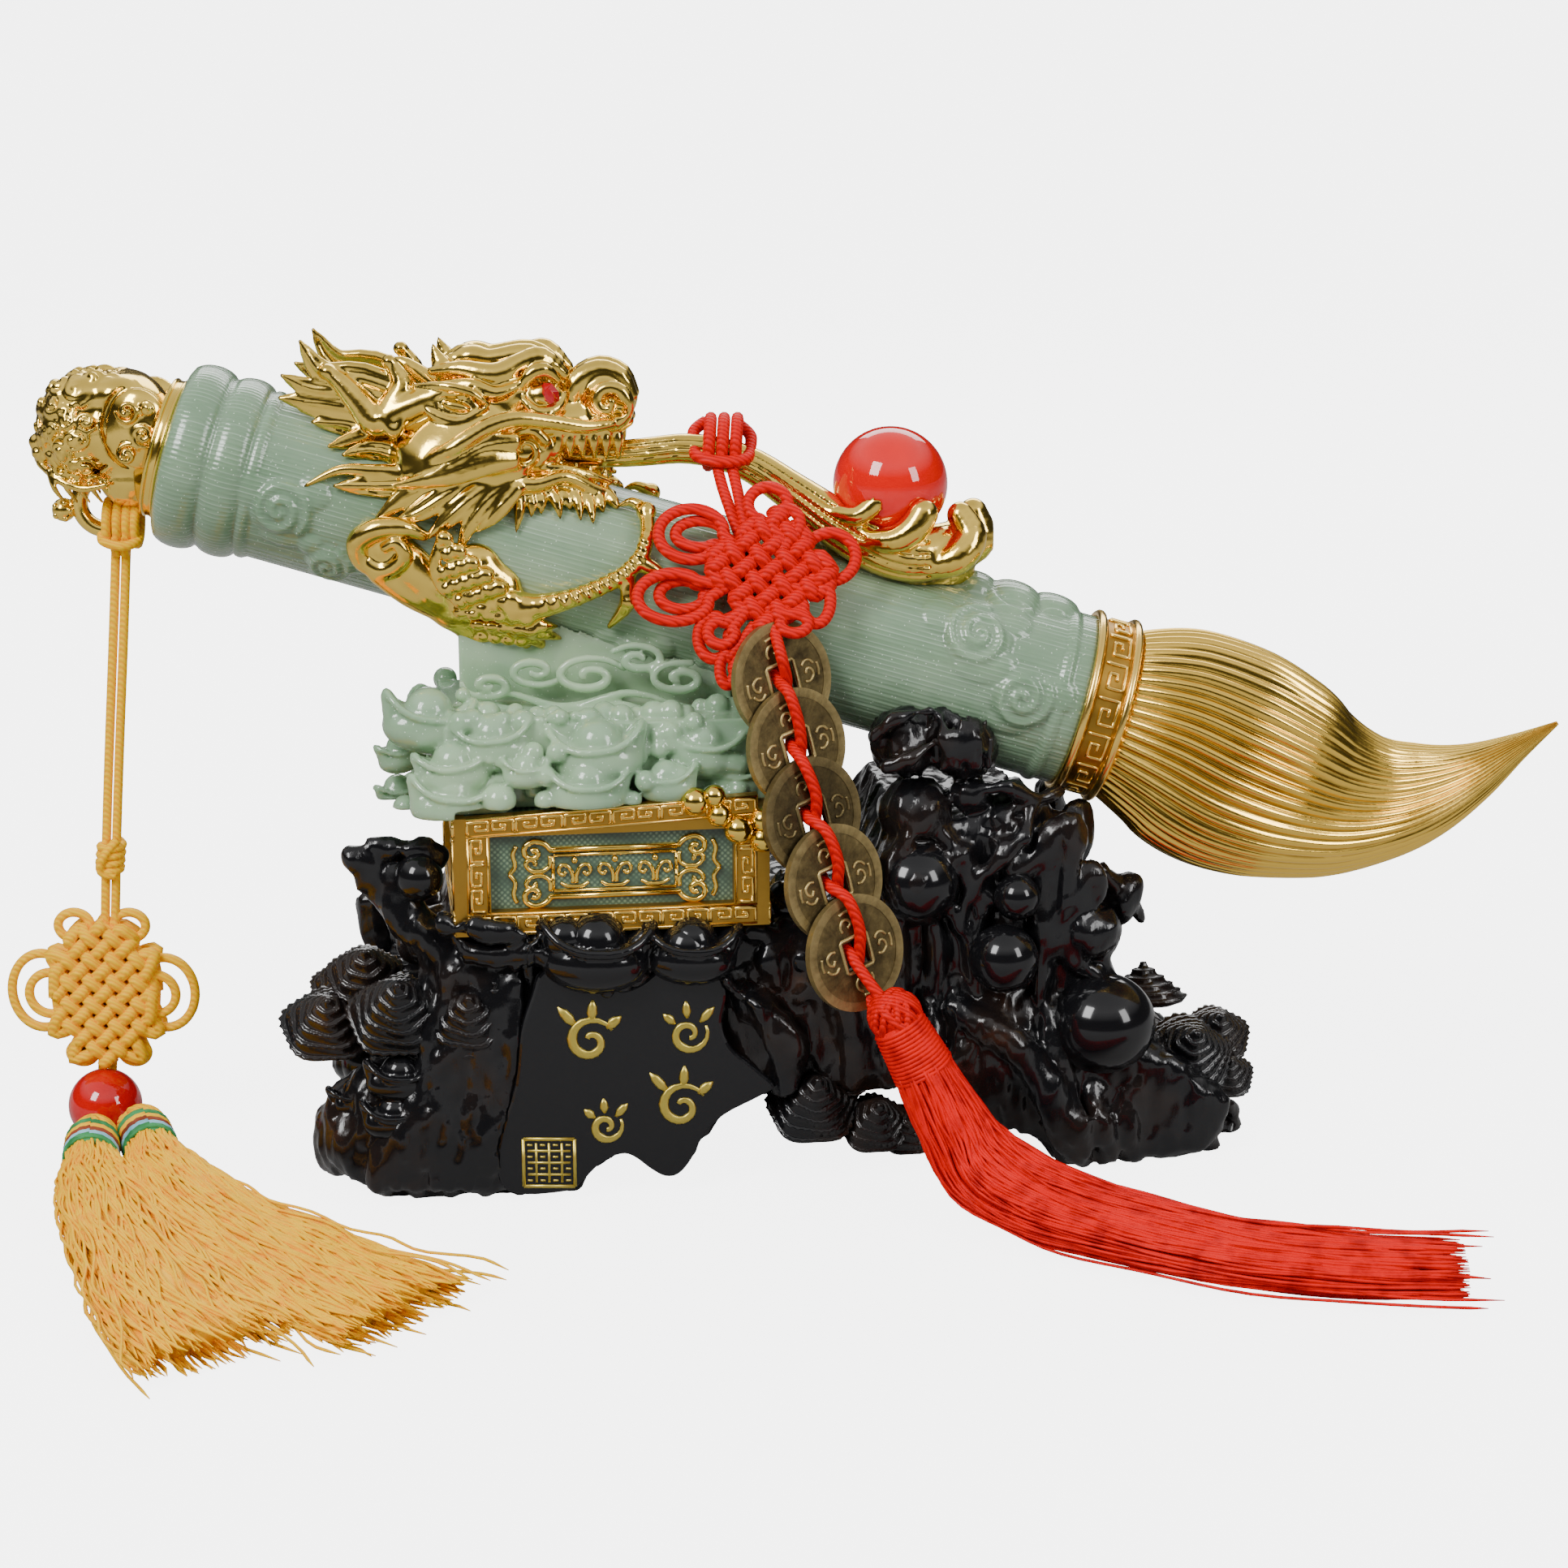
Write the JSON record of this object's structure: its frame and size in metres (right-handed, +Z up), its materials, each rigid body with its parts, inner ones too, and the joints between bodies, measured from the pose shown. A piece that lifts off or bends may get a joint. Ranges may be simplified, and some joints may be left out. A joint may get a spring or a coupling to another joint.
{
  "type": "ornamental calligraphy brush on stand",
  "caption": "Large jade-look calligraphy brush with gold dragon, ball sceptre and brush tip, lying on a treasure chest and black carved base, with coin and tassel pendants.",
  "frame": {"origin": "middle of the footprint of the stand and brush on the table", "axes": "+X from the finial to the brush tip, +Y to the back, +Z up"},
  "size_m": [0.3365, 0.1734, 0.1754],
  "materials": {
    "black_resin": "glossy black lacquered resin, brownish in the carved bark",
    "green_panel": "dark green stippled resin",
    "gold": "bright electroplated gold, polished, darker in the recesses",
    "jade": "translucent pale jade-green resin, glossy",
    "red_ball": "bright translucent red resin, polished",
    "red_bead": "deep red glossy bead",
    "red_stone": "red faceted stone",
    "old_brass": "antiqued cast brass, worn bright on the raised parts",
    "red_cord": "silky braided cord and floss",
    "yellow_cord": "silky braided cord and floss",
    "thread_wrap": "coloured thread in green, yellow, red-brown and light blue bands"
  },
  "bodies": {
    "stand": {"base": "black_resin", "chest_box": "green_panel", "chest_frame": "gold", "chest_plaque": "gold", "chest_berries": "gold", "treasure_heap": "jade", "brush_handle": "jade", "finial": "gold", "collar": "gold", "brush_tip": "gold", "dragon_head": "gold", "dragon_foreleg_near": "gold", "dragon_foreleg_far": "gold", "eye_gem_near": "red_stone", "eye_gem_far": "red_stone", "sceptre": "gold", "red_hitch": "red_cord", "red_cord_a": "red_cord", "red_cord_b": "red_cord", "red_knot": "red_cord", "coin_1": "old_brass", "coin_2": "old_brass", "coin_3": "old_brass", "coin_4": "old_brass", "coin_5": "old_brass", "red_tassel_head": "red_cord", "red_tassel_wrap": "red_cord", "red_tassel_skirt": "red_cord", "yellow_hitch": "yellow_cord", "yellow_cord_a": "yellow_cord", "yellow_cord_b": "yellow_cord", "yellow_slip_knot": "yellow_cord", "yellow_knot": "yellow_cord", "yellow_head_a": "yellow_cord", "yellow_head_b": "yellow_cord", "yellow_wrap_a": "thread_wrap", "yellow_wrap_b": "thread_wrap", "yellow_skirt_a": "yellow_cord", "yellow_skirt_b": "yellow_cord"},
    "ball": {"orb": "red_ball"},
    "bead": {"yellow_bead": "red_bead"}
  },
  "joints": [
    {"name": "ball_roll", "type": "hinge", "parent": "stand", "child": "ball", "pos_m": [0.0163, -0.002, 0.1458], "axis": [0, 0, 1], "continuous": true},
    {"name": "bead_spin", "type": "hinge", "parent": "stand", "child": "bead", "pos_m": [-0.1553, -0.0043, 0.0081], "axis": [0, 0.6018, 0.7986], "continuous": true}
  ]
}
